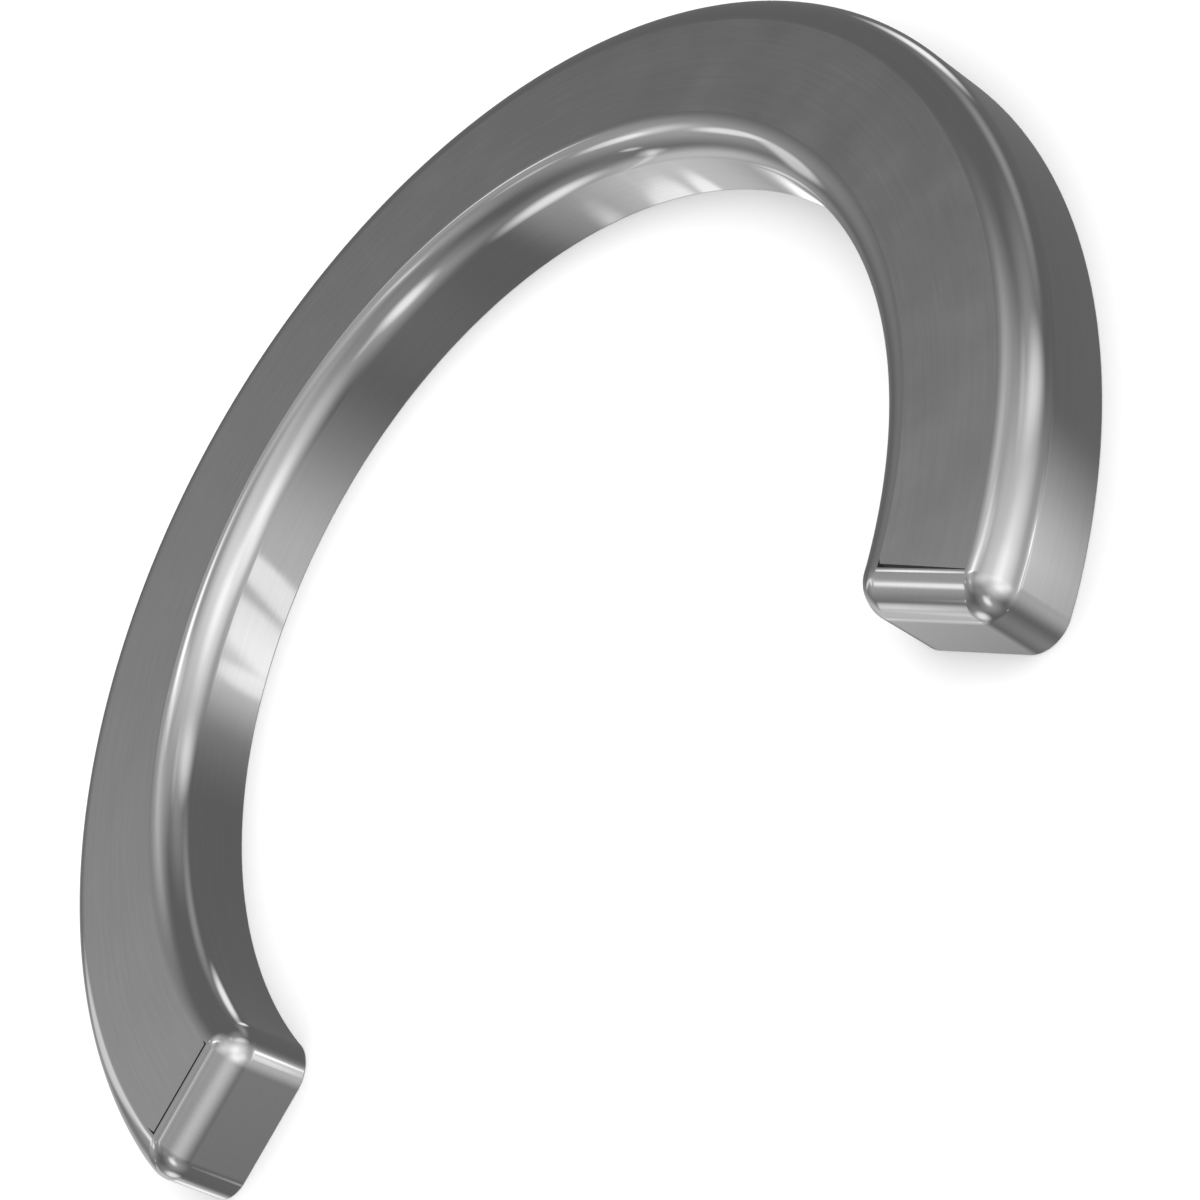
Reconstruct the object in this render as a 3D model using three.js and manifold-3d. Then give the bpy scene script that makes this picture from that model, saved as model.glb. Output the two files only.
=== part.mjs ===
// Horseshoe: a flat steel bar bent to an open arc, with a flat facing strip let
// into its ground face. Millimetres. The shoe lies on its flat hoof face at z = 0,
// ground face up (+Z), toe towards +Y, heels towards -Y, +X to the right branch.
// The origin is the middle of the outline's box, on the hoof face.

import * as THREE from 'three';
import Module from 'manifold-3d';
import { mergeVertices } from 'three/addons/utils/BufferGeometryUtils.js';

// Driving dimensions of the bar
const ARC_RADIUS = 58;                              // centreline of the bent bar
const WEB_WIDTH = 17.5;                             // width of the bar seen from above
const THICKNESS = 10;                               // hoof face to ground face
const HALF_SWEEP = THREE.MathUtils.degToRad(126);   // toe to heel end, each side
const EDGE_RADIUS = 3.5;                            // round on the ground-side edges
const CORNER_EASE = 0.4;                            // upright heel corners, beyond the edge round

// Driving dimensions of the facing strip and its recess
const FACE_LIP = 0.2;                               // flat left between round and recess
const RECESS_CORNER = 0.6;                          // corner radius of the recess
const STRIP_THICKNESS = 1.9;
const SIDE_GAP = 0.1;                               // strip to recess wall, along the arc
const END_GAP = 0.3;                                // strip to recess wall, at the heels
const BED_GAP = 0.1;                                // strip to recess floor

// Fineness of the faceted surface
const ARC_STEPS = 84;
const CORNER_STEPS = 6;
const EDGE_STEPS = 5;

const cornerRadius = EDGE_RADIUS + CORNER_EASE;
const recessInset = EDGE_RADIUS + FACE_LIP;
const recessDepth = STRIP_THICKNESS + BED_GAP;
const innerRadius = ARC_RADIUS - WEB_WIDTH / 2;
const outerRadius = ARC_RADIUS + WEB_WIDTH / 2;

// Points of one arc, run clockwise when its end angle is below its start angle.
function arcPoints(centre, radius, from, to, steps) {
  const arc = new THREE.EllipseCurve(centre.x, centre.y, radius, radius, from, to, to < from);
  return arc.getPoints(steps);
}

// The point at a distance from the arc's centre, at an angle from the toe (+Y),
// positive towards +X.
function polar(radius, angle) {
  return new THREE.Vector2(radius * Math.sin(angle), radius * Math.cos(angle));
}

// Plan outline of an open ring: the bar's own, drawn in by one inset along both
// sides and by another at the heel ends, with its four corners rounded.
function openRing(sideInset, endInset, corner) {
  const inner = innerRadius + sideInset;
  const outer = outerRadius - sideInset;
  const outerTurn = HALF_SWEEP - Math.asin((corner + endInset) / (outer - corner));
  const innerTurn = HALF_SWEEP - Math.asin((corner + endInset) / (inner + corner));
  const quarter = Math.PI / 2;
  const middle = new THREE.Vector2(0, 0);

  const outerHeel = polar(outer - corner, outerTurn);
  const innerHeel = polar(inner + corner, innerTurn);
  const rightHeel = [
    ...arcPoints(outerHeel, corner, quarter - outerTurn, -HALF_SWEEP, CORNER_STEPS),
    ...arcPoints(innerHeel, corner, -HALF_SWEEP, -quarter - innerTurn, CORNER_STEPS),
  ];
  const leftHeel = rightHeel.map((p) => new THREE.Vector2(-p.x, p.y)).reverse();
  const toeOuter = arcPoints(middle, outer, quarter + outerTurn, quarter - outerTurn, ARC_STEPS);
  const toeInner = arcPoints(middle, inner, quarter - innerTurn, quarter + innerTurn, ARC_STEPS);

  // Neighbouring arcs share an end point, so each run drops its last one.
  const outline = [];
  for (const run of [toeOuter, rightHeel, toeInner, leftHeel]) {
    outline.push(...run.slice(0, -1));
  }
  return new THREE.Shape(outline);
}

const wasm = await Module();
wasm.setup();

function solidFrom(geometry) {
  const plain = geometry.clone();
  plain.deleteAttribute('normal');
  plain.deleteAttribute('uv');
  const merged = mergeVertices(plain);
  return new wasm.Manifold(new wasm.Mesh({
    numProp: 3,
    vertProperties: new Float32Array(merged.attributes.position.array),
    triVerts: new Uint32Array(merged.index.array),
  }));
}

function geometryFrom(solid) {
  const mesh = solid.getMesh();
  const geometry = new THREE.BufferGeometry();
  geometry.setAttribute('position', new THREE.BufferAttribute(mesh.vertProperties, 3));
  geometry.setIndex(new THREE.BufferAttribute(mesh.triVerts, 1));
  geometry.computeVertexNormals();
  return geometry;
}

// The bar: its upper edges are the bevel of the extrusion, and the part of the
// extrusion below the hoof face is cut away so that the lower edges stay sharp.
function shoeBar() {
  const spare = 2;
  const body = new THREE.ExtrudeGeometry(openRing(0, 0, cornerRadius), {
    depth: THICKNESS - EDGE_RADIUS + spare,
    bevelThickness: EDGE_RADIUS,
    bevelSize: EDGE_RADIUS,
    bevelOffset: -EDGE_RADIUS,
    bevelSegments: EDGE_STEPS,
  });
  body.translate(0, 0, -spare);

  const below = 2 * EDGE_RADIUS + spare;
  const floor = new THREE.BoxGeometry(4 * outerRadius, 4 * outerRadius, below);
  floor.translate(0, 0, -below / 2);

  const recess = new THREE.ExtrudeGeometry(openRing(recessInset, recessInset, RECESS_CORNER), {
    depth: recessDepth + spare,
    bevelEnabled: false,
  });
  recess.translate(0, 0, THICKNESS - recessDepth);

  return geometryFrom(solidFrom(body).subtract(solidFrom(floor)).subtract(solidFrom(recess)));
}

// The facing strip: the recess outline drawn in by its running gaps, top face
// flush with the lip around it.
function faceStrip() {
  const corner = RECESS_CORNER - SIDE_GAP;
  const outline = openRing(recessInset + SIDE_GAP, recessInset + END_GAP, corner);
  const strip = new THREE.ExtrudeGeometry(outline, {
    depth: STRIP_THICKNESS,
    bevelEnabled: false,
  });
  strip.translate(0, 0, THICKNESS - STRIP_THICKNESS);
  return geometryFrom(solidFrom(strip));
}

const polishedSteel = new THREE.MeshStandardMaterial({
  color: 0x9a9a9a,
  metalness: 1,
  roughness: 0.2,
});
const groundSteel = new THREE.MeshStandardMaterial({
  color: 0x7c7c7c,
  metalness: 1,
  roughness: 0.32,
});

const bar = new THREE.Mesh(shoeBar(), polishedSteel);
bar.name = 'shoe_bar';

const strip = new THREE.Mesh(faceStrip(), groundSteel);
strip.name = 'face_strip';

// The arc's centre is moved so that the outline's box is centred on the origin.
const heelTurn = HALF_SWEEP - Math.asin(cornerRadius / (outerRadius - cornerRadius));
const heelReach = cornerRadius - (outerRadius - cornerRadius) * Math.cos(heelTurn);
const horseshoe = new THREE.Group();
horseshoe.add(bar, strip);
horseshoe.position.y = (heelReach - outerRadius) / 2;

export default horseshoe;
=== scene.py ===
# %% [markdown]
# # A plain steel horseshoe
# A horseshoe is one flat bar bent hot to the outline of the hoof. This one has
# the edges and heels of its ground side rounded over and polished, and a flat
# facing strip let flush into its ground face. The CAD frame fixes where
# everything is. Here both pieces get their fine surface and their finish.

# %% Load the frame
import math

import bmesh
import bpy
from mathutils import Matrix, Vector


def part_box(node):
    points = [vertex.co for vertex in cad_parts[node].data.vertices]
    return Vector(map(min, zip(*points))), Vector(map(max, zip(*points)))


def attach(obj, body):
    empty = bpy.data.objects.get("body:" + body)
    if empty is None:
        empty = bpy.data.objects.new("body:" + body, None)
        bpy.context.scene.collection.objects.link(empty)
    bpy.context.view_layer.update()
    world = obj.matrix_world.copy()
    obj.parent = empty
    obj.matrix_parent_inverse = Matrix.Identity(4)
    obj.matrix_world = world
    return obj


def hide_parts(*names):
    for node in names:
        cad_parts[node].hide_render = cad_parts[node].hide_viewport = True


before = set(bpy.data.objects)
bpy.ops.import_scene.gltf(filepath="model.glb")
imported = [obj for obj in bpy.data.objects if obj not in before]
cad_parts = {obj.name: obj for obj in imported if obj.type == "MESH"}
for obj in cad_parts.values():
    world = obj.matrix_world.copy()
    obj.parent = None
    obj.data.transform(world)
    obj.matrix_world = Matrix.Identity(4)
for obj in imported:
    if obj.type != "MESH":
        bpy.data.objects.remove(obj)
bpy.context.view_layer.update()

# %% [markdown]
# ## Camera
# A long lens from about 32 cm away gives a natural perspective, in which the
# near heel looks a little larger than the far one. The camera looks down on
# the lying shoe from the front right and is rolled about its own axis, so that
# the toe is at the top. A camera's track-to constraint could aim it, but one
# matrix made from a direction, a distance and a roll is shorter and exact.
# Blender's usual film curve turns a white board grey and flattens the bright
# reflections that make steel look polished. The Standard curve keeps both.

# %% Camera
MM = 0.001
SHOT_TARGET = Vector((5.36, -14.02, 0)) * MM
SHOT_DISTANCE = 320.45 * MM
SHOT_AZIMUTH = math.radians(37.28)
SHOT_ELEVATION = math.radians(35.88)
SHOT_ROLL = math.radians(60.75)
SHOT_LENS = 97.58
NEAREST_SEEN = 10 * MM


def direction(azimuth, elevation):
    """Unit vector from the shoe to a far point. Azimuth 0 is the side the heels are on."""
    return Vector((
        math.sin(azimuth) * math.cos(elevation),
        -math.cos(azimuth) * math.cos(elevation),
        math.sin(elevation),
    ))


back = direction(SHOT_AZIMUTH, SHOT_ELEVATION)
camera = bpy.data.objects.new("camera", bpy.data.cameras.new("camera"))
camera.data.lens = SHOT_LENS
camera.data.clip_start = NEAREST_SEEN
camera.matrix_world = (
    Matrix.Translation(SHOT_TARGET + back * SHOT_DISTANCE)
    @ (-back).to_track_quat("-Z", "Y").to_matrix().to_4x4()
    @ Matrix.Rotation(-SHOT_ROLL, 4, "Z")
)
bpy.context.scene.collection.objects.link(camera)
bpy.context.scene.camera = camera
bpy.context.scene.view_settings.view_transform = "Standard"
print("camera at (mm):", [round(c / MM, 1) for c in camera.matrix_world.translation])

# %% [markdown]
# ## The bar: its bend
# A smith bends the bar round the anvil's horn, so its section stays the same
# all the way. In Blender that is one upright rectangle spun round the arc's
# centre. A curve with a bevel object would give the same sweep, but a spun
# bmesh keeps real edges, which the next step rounds over. The first and last
# steps are as long as the heels' rounding, so that the rounding never has to
# cross from one step into the next.

# %% Sizes of the bar
WEB_WIDTH = 17.5 * MM
HALF_SWEEP = math.radians(126)
HEEL_STEP = 4.8 * MM
SPIN_STEPS = 200

bar_low, bar_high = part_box("shoe_bar")
thickness = bar_high.z - bar_low.z
outer_radius = (bar_high.x - bar_low.x) / 2
arc_radius = outer_radius - WEB_WIDTH / 2
arc_centre = Vector((0, bar_high.y - outer_radius, 0))
print("centreline radius and thickness (mm):", round(arc_radius / MM, 2), round(thickness / MM, 2))


# %% Spin a rectangle round the arc
def spun_bar(width, bottom, top):
    """A bmesh of a rectangular bar bent round the arc's centre, from heel to heel."""
    bm = bmesh.new()
    bmesh.ops.create_grid(bm, x_segments=1, y_segments=1, size=0.5)
    bmesh.ops.scale(bm, vec=(width, top - bottom, 1), verts=bm.verts)
    stand_up = Matrix.Rotation(math.radians(90), 4, "X")
    to_radius = Matrix.Translation((arc_radius, 0, (bottom + top) / 2))
    to_heel = Matrix.Rotation(math.radians(90) - HALF_SWEEP, 4, "Z")
    place = Matrix.Translation(arc_centre) @ to_heel @ to_radius @ stand_up
    bmesh.ops.transform(bm, matrix=place, verts=bm.verts)
    section = bm.verts[:] + bm.edges[:] + bm.faces[:]
    heel_turn = HEEL_STEP / arc_radius
    branch_turn = 2 * (HALF_SWEEP - heel_turn)
    for turn, steps in ((heel_turn, 1), (branch_turn, SPIN_STEPS), (heel_turn, 1)):
        section = bmesh.ops.spin(
            bm, geom=section, cent=arc_centre, axis=(0, 0, 1), angle=turn, steps=steps,
            use_merge=False,
        )["geom_last"]
    bmesh.ops.recalc_face_normals(bm, faces=bm.faces)
    return bm


bar = spun_bar(WEB_WIDTH, 0, thickness)
print("bar:", len(bar.faces), "faces, volume (mm3):", round(bar.calc_volume() / MM ** 3))

# %% [markdown]
# ## The bar: its rounded edges
# After bending, the ground side is dressed: a file and a belt take its long
# edges and all four upright corners at the heels to one full round. The hoof
# side only has its burr taken off. Both are the bevel operator. The wide one
# needs many segments, because polished steel shows every flat in a reflection.
# Where three wide bevels meet, the operator closes them with a ball corner,
# as a file does.

# %% Round the edges over
EDGE_RADIUS = 3.5 * MM
EDGE_SEGMENTS = 20
BURR = 0.15 * MM
BURR_SEGMENTS = 3
ROUND_PROFILE = 0.5
CORNER_ANGLE = math.radians(45)


def corner_edges(bm, low, high):
    """Edges that turn a corner and whose highest point lies between two heights."""
    return [
        edge for edge in bm.edges
        if edge.calc_face_angle() > CORNER_ANGLE
        and low < max(v.co.z for v in edge.verts) < high
    ]


def round_over(bm, edges, radius, segments):
    """Bevels edges without the clamp, which would stop at the length of one spin step."""
    bmesh.ops.bevel(
        bm, geom=edges, offset=radius, offset_type="OFFSET", affect="EDGES",
        segments=segments, profile=ROUND_PROFILE, material=-1, clamp_overlap=False,
    )


middle = thickness / 2
round_over(bar, corner_edges(bar, middle, 2 * thickness), EDGE_RADIUS, EDGE_SEGMENTS)
round_over(bar, corner_edges(bar, -middle, BURR), BURR, BURR_SEGMENTS)
print("bar:", len(bar.faces), "faces, volume (mm3):", round(bar.calc_volume() / MM ** 3))

# %% [markdown]
# ## The bar: the recess
# The facing strip lies in a shallow recess that takes up the whole flat of the
# ground face. A boolean could cut it, but inset and extrude keep the mesh in
# clean quads. Extruding a region keeps the first faces too, as a lid over the
# hole, so they are deleted. The recess faces get the second material slot, a
# painted shade: near-black paint that keeps the seam dark.

# %% Sink the recess
RECESS_LIP = 0.03 * MM
BED_GAP = 0.1 * MM
UPWARD = 0.9999
SEAM_SHADE_SLOT = 1
SAME_PLACE = 1e-7

strip_low, strip_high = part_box("face_strip")
recess_depth = thickness - strip_low.z + BED_GAP


def at_the_top(faces):
    """Those of the faces that lie in the plane of the ground face."""
    return [f for f in faces if f.is_valid and f.calc_center_median().z > thickness - SAME_PLACE]


flat = [f for f in at_the_top(bar.faces) if f.normal.z > UPWARD]
bmesh.ops.inset_region(
    bar, faces=flat, thickness=RECESS_LIP, use_even_offset=True, use_boundary=True,
)
sunk = bmesh.ops.extrude_face_region(bar, geom=flat)["geom"]
sunk_verts = [g for g in sunk if isinstance(g, bmesh.types.BMVert)]
bmesh.ops.translate(bar, vec=(0, 0, -recess_depth), verts=sunk_verts)
bmesh.ops.delete(bar, geom=at_the_top(flat), context="FACES")
# Painted shade: the recess faces take the near-black slot, which darkens the seam.
for recess_face in {f for v in sunk_verts for f in v.link_faces}:
    recess_face.material_index = SEAM_SHADE_SLOT
open_edges = sum(not e.is_manifold for e in bar.edges)
print("recess depth (mm):", round(recess_depth / MM, 2), "open edges:", open_edges)

# %% [markdown]
# ## The facing strip
# The strip is bent to the same arc, pressed into the recess, and cut off at
# both heels a hair short, so a thin dark seam shows there and nowhere else. It
# is spun like the bar. A plane cuts each end, because the seam runs parallel
# to the heel and not through the arc's centre. Hand work shows in two places:
# the cut at the right heel is not quite square, and three corners are filed
# back, which opens the seam a little where it meets the side.

# %% Spin the strip
SIDE_GAP = 0.005 * MM

strip_width = WEB_WIDTH - 2 * (EDGE_RADIUS + RECESS_LIP + SIDE_GAP)
strip = spun_bar(strip_width, strip_low.z, strip_high.z)
print("strip width and thickness (mm):", [
    round(size / MM, 2) for size in (strip_width, strip_high.z - strip_low.z)
])

# %% Cut its ends
RIGHT, LEFT = 1, -1
END_GAP = {RIGHT: 0.22 * MM, LEFT: 0.26 * MM}
CUT_SLANT = {RIGHT: 0.026, LEFT: 0.0}
FILED_INSIDE = {RIGHT: 0.22 * MM, LEFT: 0.18 * MM}
FILED_OUTSIDE = {RIGHT: 0.0, LEFT: 0.20 * MM}

for side in (RIGHT, LEFT):
    outward = Vector((side * math.sin(HALF_SWEEP), math.cos(HALF_SWEEP), 0))
    away = Vector((side * math.cos(HALF_SWEEP), -math.sin(HALF_SWEEP), 0))
    heel = arc_centre + outward * arc_radius
    cut = heel - away * (EDGE_RADIUS + RECESS_LIP + END_GAP[side])
    verts = [v for v in strip.verts if v.co.x * side > 0]
    branch = {g for v in verts for g in (v, *v.link_edges, *v.link_faces)}
    bmesh.ops.bisect_plane(
        strip, geom=list(branch), plane_co=cut, plane_no=away - outward * CUT_SLANT[side],
        clear_outer=True, dist=SAME_PLACE,
    )
    rim = [e for e in strip.edges if e.is_boundary]
    bmesh.ops.contextual_create(strip, geom=rim)
    corners = {v for e in rim for v in e.verts}
    inside = [v for v in corners if (v.co - cut).dot(outward) < 0]
    outside = [v for v in corners if (v.co - cut).dot(outward) > 0]
    bmesh.ops.translate(strip, vec=outward * FILED_INSIDE[side], verts=inside)
    bmesh.ops.translate(strip, vec=-outward * FILED_OUTSIDE[side], verts=outside)
bmesh.ops.recalc_face_normals(strip, faces=strip.faces)
# Painted shade: the strip's sides, ends and underside take the near-black slot too, so the seam
# stays dark.
for hidden_face in [f for f in strip.faces if f.normal.z < UPWARD]:
    hidden_face.material_index = SEAM_SHADE_SLOT
open_edges = sum(not e.is_manifold for e in strip.edges)
print("strip:", len(strip.faces), "faces, open edges:", open_edges)

# %% [markdown]
# ## From bmesh to pieces
# Each mesh becomes one object that rides on the only body and stands for its
# CAD solid. Faces are shaded smooth and only real corners stay sharp. Weighted
# normals let the big flat faces decide the shading of the small ones beside
# them, so the flats stay flat right up to the rounding.


# %% Turn both into pieces
SHARP_ANGLE = math.radians(25)
FACE_AREA_WEIGHT = 100


def piece(name, bm, node):
    """Makes the bmesh an object that stands for a CAD node."""
    for face in bm.faces:
        face.smooth = True
    for edge in bm.edges:
        edge.smooth = edge.calc_face_angle() < SHARP_ANGLE
    mesh = bpy.data.meshes.new(name)
    bm.to_mesh(mesh)
    bm.free()
    obj = bpy.data.objects.new(name, mesh)
    bpy.context.scene.collection.objects.link(obj)
    even = obj.modifiers.new("even_normals", "WEIGHTED_NORMAL")
    even.keep_sharp = True
    even.weight = FACE_AREA_WEIGHT
    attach(obj, "root")
    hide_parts(node)
    print(name, "triangles:", sum(len(p.vertices) - 2 for p in mesh.polygons))
    return obj


bar_piece = piece("bar", bar, "shoe_bar")
strip_piece = piece("facing_strip", strip, "face_strip")

# %% [markdown]
# ## Helpers for colours and nodes
# Colours are picked as sRGB hex values, but shaders work in linear light, so
# one function turns them. Another adds a node with its settings and links, so
# that each material below reads as a short list of what it is made of.


# %% Colours and nodes
def linear(hex_colour):
    """sRGB hex string to linear RGBA."""
    srgb = [int(hex_colour[i:i + 2], 16) / 255 for i in (0, 2, 4)]
    rgb = [c / 12.92 if c <= 0.04045 else ((c + 0.055) / 1.055) ** 2.4 for c in srgb]
    return (*rgb, 1)


def add_node(tree, kind, settings=None, **inputs):
    """Adds a node. An input is a value, or a socket of another node to link from."""
    node = tree.nodes.new(kind)
    for name, value in (settings or {}).items():
        setattr(node, name, value)
    for name, value in inputs.items():
        key = int(name[1:]) if name[0] == "_" else name.replace("_", " ")
        if isinstance(value, bpy.types.NodeSocket):
            tree.links.new(value, node.inputs[key])
        else:
            node.inputs[key].default_value = value
    return node


print("steel in linear light:", round(linear("C4C4C4")[0], 3))

# %% [markdown]
# ## Coordinates along the bend
# Belts and buffs run along the bar, so their lines follow the bend. Object
# coordinates give the place of a point. Moved to the arc's centre, they give
# its radius and its angle, and the angle times the centreline radius is the
# distance along the bar. A UV map could hold the same, but this needs no
# unwrapping. The quarter turn puts the angle's jump in the open side.


# %% Coordinates along the bend
def along_the_bend(tree):
    """Radius, distance along the bar and height, in metres, as one vector."""
    place = add_node(tree, "ShaderNodeTexCoord").outputs["Object"]
    centred = add_node(
        tree, "ShaderNodeMapping", {"vector_type": "TEXTURE"}, Vector=place,
        Location=arc_centre, Rotation=(0, 0, math.radians(90)),
    ).outputs[0]
    angle = add_node(
        tree, "ShaderNodeTexGradient", {"gradient_type": "RADIAL"}, Vector=centred,
    ).outputs["Fac"]
    along = add_node(
        tree, "ShaderNodeMath", {"operation": "MULTIPLY"}, _0=angle, _1=math.tau * arc_radius,
    ).outputs[0]
    level = add_node(
        tree, "ShaderNodeVectorMath", {"operation": "MULTIPLY"}, _0=centred, _1=(1, 1, 0),
    ).outputs[0]
    radius = add_node(
        tree, "ShaderNodeVectorMath", {"operation": "LENGTH"}, _0=level,
    ).outputs["Value"]
    height = add_node(tree, "ShaderNodeSeparateXYZ", Vector=centred).outputs["Z"]
    return add_node(tree, "ShaderNodeCombineXYZ", X=radius, Y=along, Z=height).outputs[0]


# %% [markdown]
# ## Steel finishes
# Both pieces are bare carbon steel, a neutral grey metal. The bar is buffed:
# soft, bright reflections, long faint lines left by the buff, slow waves left
# by the hammer and cloudy patches where it has been handled. The strip is
# ground on a belt: closer, deeper lines and a duller, more even face. One
# function makes both, because they differ only in the sizes of the same marks.


# %% Steel
LINE_LAYERS = 2
LINE_ROUGHNESS = 0.5
WAVE_LAYERS = 0
CLOUD_LAYERS = 4
CLOUD_ROUGHNESS = 0.6
CLOUD_LOW = 0.35
CLOUD_HIGH = 0.65
MOTTLE_LAYERS = 3
MOTTLE_ROUGHNESS = 0.6
SEAM_SHADE_ROUGHNESS = 0.75

# Slow waves are about a hammer face apart. Clouds are the size of a fingertip.
WAVE_LENGTH = 14 * MM
CLOUD_SIZE = 9 * MM


def worked_steel(name, colours, roughness, line_gap, line_length, line_depth, wave_depth):
    """Steel with lines along the bend, shallow waves and cloudy patches, sizes in metres."""
    steel = bpy.data.materials.new(name)
    steel.use_nodes = True
    tree = steel.node_tree
    shader = tree.nodes["Principled BSDF"]
    shader.inputs["Metallic"].default_value = 1
    bend = along_the_bend(tree)
    line_place = add_node(
        tree, "ShaderNodeMapping", Vector=bend,
        Scale=(1 / line_gap, 1 / line_length, 1 / line_gap),
    ).outputs[0]
    lines = add_node(
        tree, "ShaderNodeTexNoise", Vector=line_place, Scale=1, Detail=LINE_LAYERS,
        Roughness=LINE_ROUGHNESS,
    ).outputs["Fac"]
    waves = add_node(
        tree, "ShaderNodeTexNoise", Vector=bend, Scale=1 / WAVE_LENGTH, Detail=WAVE_LAYERS,
    ).outputs["Fac"]
    clouds = add_node(
        tree, "ShaderNodeTexNoise", Vector=bend, Scale=1 / CLOUD_SIZE, Detail=CLOUD_LAYERS,
        Roughness=CLOUD_ROUGHNESS,
    ).outputs["Fac"]
    sheen = add_node(
        tree, "ShaderNodeMapRange", Value=clouds, From_Min=CLOUD_LOW, From_Max=CLOUD_HIGH,
        To_Min=roughness[0], To_Max=roughness[1],
    ).outputs[0]
    tree.links.new(sheen, shader.inputs["Roughness"])
    tint = add_node(
        tree, "ShaderNodeMix", {"data_type": "RGBA"}, _0=lines,
        _6=linear(colours[0]), _7=linear(colours[1]),
    ).outputs[2]
    tree.links.new(tint, shader.inputs["Base Color"])
    waved = add_node(tree, "ShaderNodeBump", Height=waves, Distance=wave_depth)
    lined = add_node(
        tree, "ShaderNodeBump", Height=lines, Distance=line_depth, Normal=waved.outputs[0],
    )
    tree.links.new(lined.outputs[0], shader.inputs["Normal"])
    print(name, "nodes:", len(tree.nodes))
    return steel


def paint_seam_shade(name, colours, mottle):
    """Painted shade for the seam: a near-black, rough material, mottled at the size given."""
    shade_paint = bpy.data.materials.new(name)
    shade_paint.use_nodes = True
    tree = shade_paint.node_tree
    shader = tree.nodes["Principled BSDF"]
    shader.inputs["Roughness"].default_value = SEAM_SHADE_ROUGHNESS
    place = add_node(tree, "ShaderNodeTexCoord").outputs["Object"]
    mottling = add_node(
        tree, "ShaderNodeTexNoise", Vector=place, Scale=1 / mottle, Detail=MOTTLE_LAYERS,
        Roughness=MOTTLE_ROUGHNESS,
    ).outputs["Fac"]
    tint = add_node(
        tree, "ShaderNodeMix", {"data_type": "RGBA"}, _0=mottling,
        _6=linear(colours[0]), _7=linear(colours[1]),
    ).outputs[2]
    tree.links.new(tint, shader.inputs["Base Color"])
    print(name, "nodes:", len(tree.nodes))
    return shade_paint


# Real buffing lines are finer than these. They are drawn coarser, so that they show.
polished = worked_steel(
    "polished_carbon_steel", ("C0C0C0", "C8C8C8"), (0.04, 0.08),
    line_gap=0.35 * MM, line_length=14 * MM, line_depth=0.0003 * MM, wave_depth=0.012 * MM,
)
ground = worked_steel(
    "belt_ground_carbon_steel", ("BEBEBE", "CACACA"), (0.16, 0.24),
    line_gap=0.3 * MM, line_length=9 * MM, line_depth=0.001 * MM, wave_depth=0.008 * MM,
)
# Painted shade, held in scale: near-black paint for the recess and the strip's hidden faces, so
# that the seam stays dark.
scale = paint_seam_shade("near_black_painted_seam_shade", ("0E0D0C", "262423"), mottle=0.4 * MM)

# Real steel would mirror the shoe itself, as a dark line along the inner rounding. Here the
# pieces are left out of reflections, which is a choice of lighting and not how steel behaves.
for obj, finish in ((bar_piece, polished), (strip_piece, ground)):
    obj.data.materials.append(finish)
    obj.data.materials.append(scale)
    obj.visible_glossy = False

# %% [markdown]
# ## Floor
# The shoe lies on a plain pale board, wide enough to fill the view from every
# side. Polished steel is a mirror, and so near a white board its upright walls
# would show mostly white. Hidden from glossy rays, the board lets them show
# the dimmer, livelier studio instead. That too is a choice of lighting.

# %% Floor
FLOOR_REACH = 6.0
BOARD_ROUGHNESS = 0.9

floor_bm = bmesh.new()
bmesh.ops.create_grid(floor_bm, x_segments=1, y_segments=1, size=FLOOR_REACH)
floor_mesh = bpy.data.meshes.new("floor")
floor_bm.to_mesh(floor_mesh)
floor_bm.free()
floor = bpy.data.objects.new("floor", floor_mesh)
bpy.context.scene.collection.objects.link(floor)
floor.visible_glossy = False

board = bpy.data.materials.new("matt_white_board")
board.use_nodes = True
paint = board.node_tree.nodes["Principled BSDF"]
paint.inputs["Base Color"].default_value = linear("F4F4F4")
paint.inputs["Roughness"].default_value = BOARD_ROUGHNESS
paint.inputs["Specular IOR Level"].default_value = 0
floor.data.materials.append(board)
print("floor side (m):", 2 * FLOOR_REACH)

# %% [markdown]
# ## Studio
# What polished steel looks like is what it reflects, so the studio is made of
# soft panels of light on a dim grey room, all in the world's shader: a tall
# window, a lit wall, lamps and tubes. Area lights are the usual choice, but they
# would have to be hidden from the camera in every view. A panel is a ball
# gradient, moved out in its direction, turned to face the shoe and squeezed to
# its size. The camera itself sees a plain pale backdrop.

# %% Studio panels
world = bpy.data.worlds.new("studio")
bpy.context.scene.world = world
world.use_nodes = True
sky = world.node_tree
look = add_node(sky, "ShaderNodeTexCoord").outputs["Generated"]


def soft_panel(light, azimuth, elevation, width, height, turn, edge, strength):
    """Adds a panel to the light so far. Angles are in degrees, width and height are half
    sizes at a distance of 1, and edge is the part of them over which it fades out."""
    towards = direction(math.radians(azimuth), math.radians(elevation))
    across = Vector((math.cos(math.radians(azimuth)), math.sin(math.radians(azimuth)), 0))
    facing = Matrix((across, towards.cross(across), towards)).transposed()
    turned = facing @ Matrix.Rotation(math.radians(turn), 3, "Z")
    placed = add_node(
        sky, "ShaderNodeMapping", {"vector_type": "TEXTURE"}, Vector=look,
        Location=towards, Rotation=turned.to_euler(), Scale=(width, height, 1),
    )
    ball = add_node(
        sky, "ShaderNodeTexGradient", {"gradient_type": "SPHERICAL"}, Vector=placed.outputs[0],
    )
    faded = add_node(
        sky, "ShaderNodeMapRange", {"interpolation_type": "SMOOTHSTEP"},
        Value=ball.outputs["Fac"], From_Max=edge, To_Max=strength,
    )
    return add_node(sky, "ShaderNodeMath", _0=light, _1=faded.outputs[0]).outputs[0]


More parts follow.
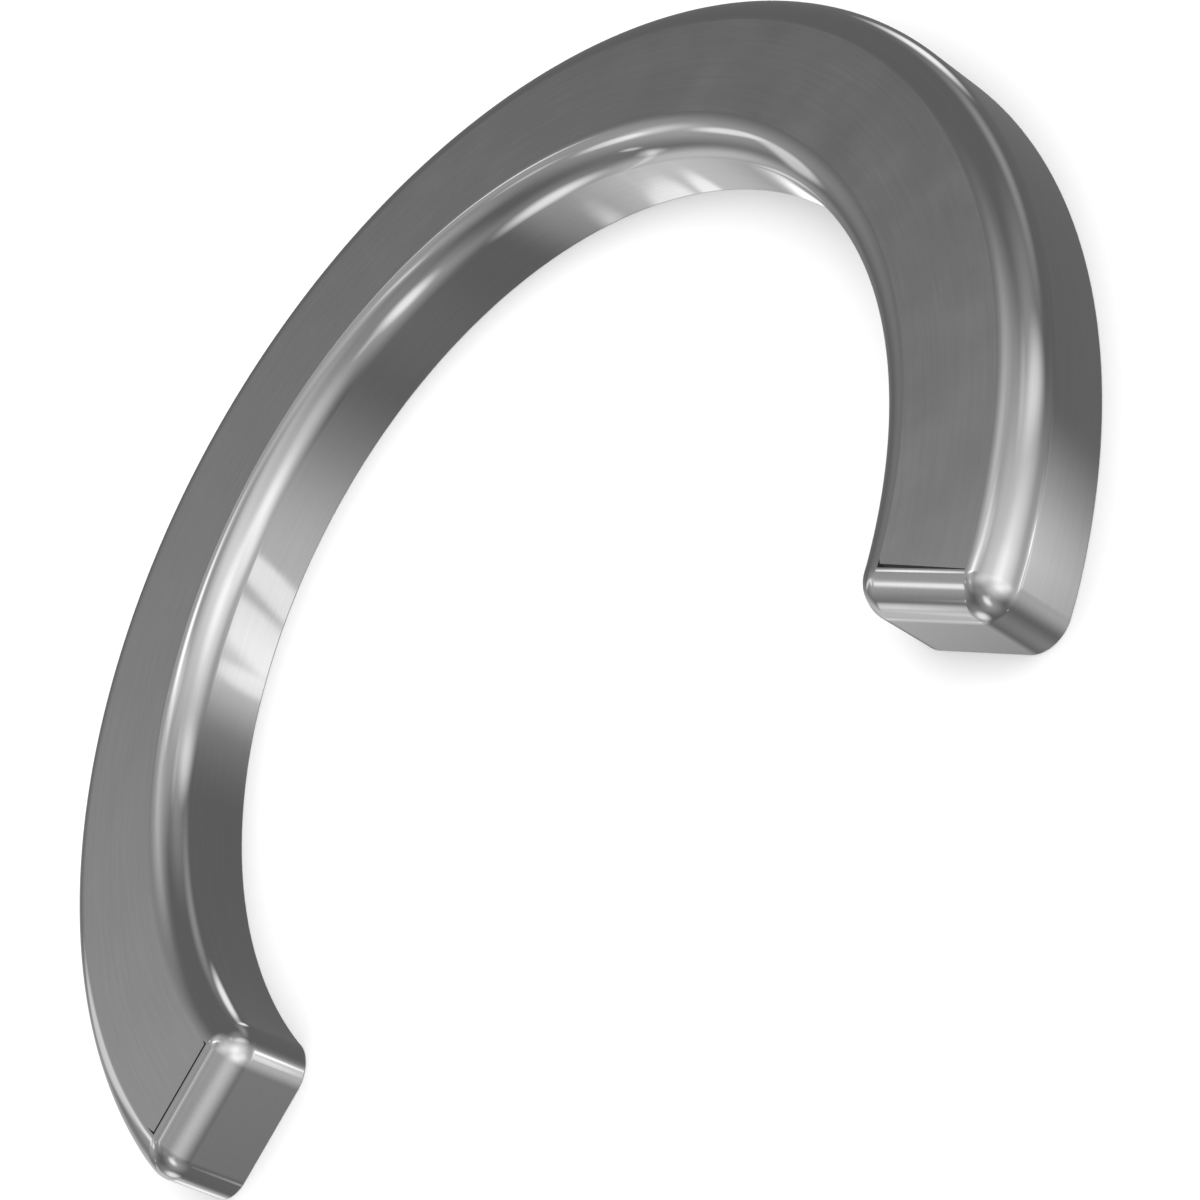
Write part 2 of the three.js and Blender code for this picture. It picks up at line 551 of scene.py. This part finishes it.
ROOM_GREY = 0.19
light = ROOM_GREY
for panel in (
    # The tall window, with its brighter middle, its side curtains and the floor it lights.
    (50, 22, 0.7, 1.1, 0, 1.0, 1.15),
    (86, 22, 0.6, 1.15, -10, 1.0, 0.86),
    (44, 24, 0.3, 0.55, 0, 1.0, 0.34),
    (72, 34, 0.35, 0.4, 0, 1.0, 0.38),
    (56, 0, 0.25, 0.4, 0, 1.0, 0.30),
    (20, 36, 0.35, 0.95, 0, 1.0, 0.26),
    (62, -35, 0.85, 0.45, 0, 1.0, 0.54),
    # The ceiling: bright above the window, fainter to the left and behind.
    (74, 78, 0.52, 0.78, 0, 1.0, 0.76),
    (-30, 62, 0.6, 0.35, 0, 1.0, 0.16),
    (-118, 68, 0.7, 0.24, 0, 1.0, 0.32),
    # A second, narrow window in front.
    (-10, 18, 0.6, 1, 0, 1.0, 0.40),
    (-12, 24, 0.21, 0.4, 0, 0.8, 0.85),
    (1, 31, 0.1, 0.18, 0, 1.0, 0.30),
    # Two round lamps near the table's height, each with its glow.
    (-53, -14, 0.34, 0.36, -15, 0.8, 1.02),
    (-54, 3, 0.7, 0.45, 0, 1.0, 0.18),
    (-31, -48, 0.5, 0.28, 0, 1.0, 0.16),
    (170, -14, 0.2, 0.2, 0, 0.8, 1.25),
    (145, -2, 0.6, 0.24, 0, 1.0, 0.26),
    # The pale walls on the right, behind and on the left.
    (122, 26, 0.45, 0.75, 0, 1.0, 0.20),
    (152, 61, 0.72, 0.38, 0, 1.0, 0.37),
    (-155, 57, 0.5, 0.35, -20, 1.0, 0.40),
    (-108, 34, 0.75, 0.72, 0, 1.0, 0.42),
    (-93, -20, 0.8, 0.48, 0, 0.9, 0.62),
    # The upright edge light on the right, with its top end.
    (107, 14, 0.22, 0.52, -5, 0.9, 0.55),
    (118, 42, 0.2, 0.16, 0, 0.9, 0.22),
    # Ceiling tubes behind.
    (-155, 62, 0.18, 0.085, -42, 0.8, 1.02),
    (-173, 65, 0.2, 0.09, -10, 0.9, 0.55),
    (168, 69, 0.26, 0.09, -8, 0.9, 0.42),
    (-98, 67.5, 0.18, 0.05, 0, 0.8, 0.42),
    # Small lamps and bright door gaps on the left.
    (-101, 42, 0.14, 0.11, 0, 0.6, 0.56),
    (-108, 38.5, 0.26, 0.12, 0, 0.9, 0.42),
    (-115, 28, 0.16, 0.11, 0, 0.7, 0.72),
    (-110, 53, 0.09, 0.09, 0, 0.9, 0.45),
    (-139.5, 43, 0.045, 0.035, 0, 0.8, 1.35),
    (-120, 13, 0.1, 0.34, 5, 0.6, 0.62),
    (-82, 1, 0.09, 0.18, 0, 0.8, 0.50),
    (-82, -12, 0.04, 0.42, 0, 0.7, 0.28),
    (-81, 19, 0.05, 0.1, 0, 0.7, 0.55),
    # Patches of window light on the floor, parted by the slanted shadows of window bars.
    (84, -35, 0.28, 0.24, 0, 0.9, 0.40),
    (93, -40.5, 0.32, 0.09, 0, 1.0, 0.33),
    (82, -40.6, 0.13, 0.018, 0, 0.8, 0.48),
    (63, -31, 0.16, 0.024, -17, 0.4, 0.62),
    (76, -31.3, 0.2, 0.037, -15, 0.4, 0.58),
    (86, -31.2, 0.06, 0.024, -10, 0.6, 0.52),
    (87, -34.2, 0.08, 0.03, 0, 0.6, 0.95),
    (69, -34.2, 0.15, 0.025, 0, 0.6, 0.48),
    # Fainter patches on the floor at the left and behind.
    (-98, -37, 0.94, 0.18, 0, 0.9, 0.36),
    (-86, -33.9, 0.13, 0.022, 0, 0.4, 0.58),
    (-99, -34.1, 0.07, 0.019, 0, 0.5, 0.60),
    (-66, -33, 0.08, 0.019, 0, 1.0, 0.62),
    (-138, -35.5, 0.14, 0.022, 0, 0.8, 0.85),
    (-138, -35, 0.2, 0.07, 0, 1.0, 0.45),
    (-126, -26, 0.14, 0.12, 20, 0.8, 0.55),
    (4, -36, 0.1, 0.06, 0, 0.8, 0.42),
    # The light that the pale board throws back from below.
    (0, -90, 0.9, 0.9, 0, 1.0, 0.60),
):
    light = soft_panel(light, *panel)
print("world nodes:", len(sky.nodes))

# %% Backdrop and overhead fill
panels = add_node(sky, "ShaderNodeBackground", Color=light)
backdrop = add_node(sky, "ShaderNodeBackground", Color=linear("F8F8F8"))
seen = add_node(sky, "ShaderNodeLightPath").outputs["Is Camera Ray"]
mix = add_node(
    sky, "ShaderNodeMixShader", _0=seen, _1=panels.outputs[0], _2=backdrop.outputs[0],
)
sky.links.new(mix.outputs[0], sky.nodes["World Output"].inputs["Surface"])

FILL_ENERGY = 2.2
FILL_SPREAD = math.radians(120)

fill = bpy.data.objects.new("overhead_fill", bpy.data.lights.new("overhead_fill", "SUN"))
fill.data.energy = FILL_ENERGY
fill.data.angle = FILL_SPREAD
fill.visible_glossy = False
bpy.context.scene.collection.objects.link(fill)
print("fill energy:", FILL_ENERGY)
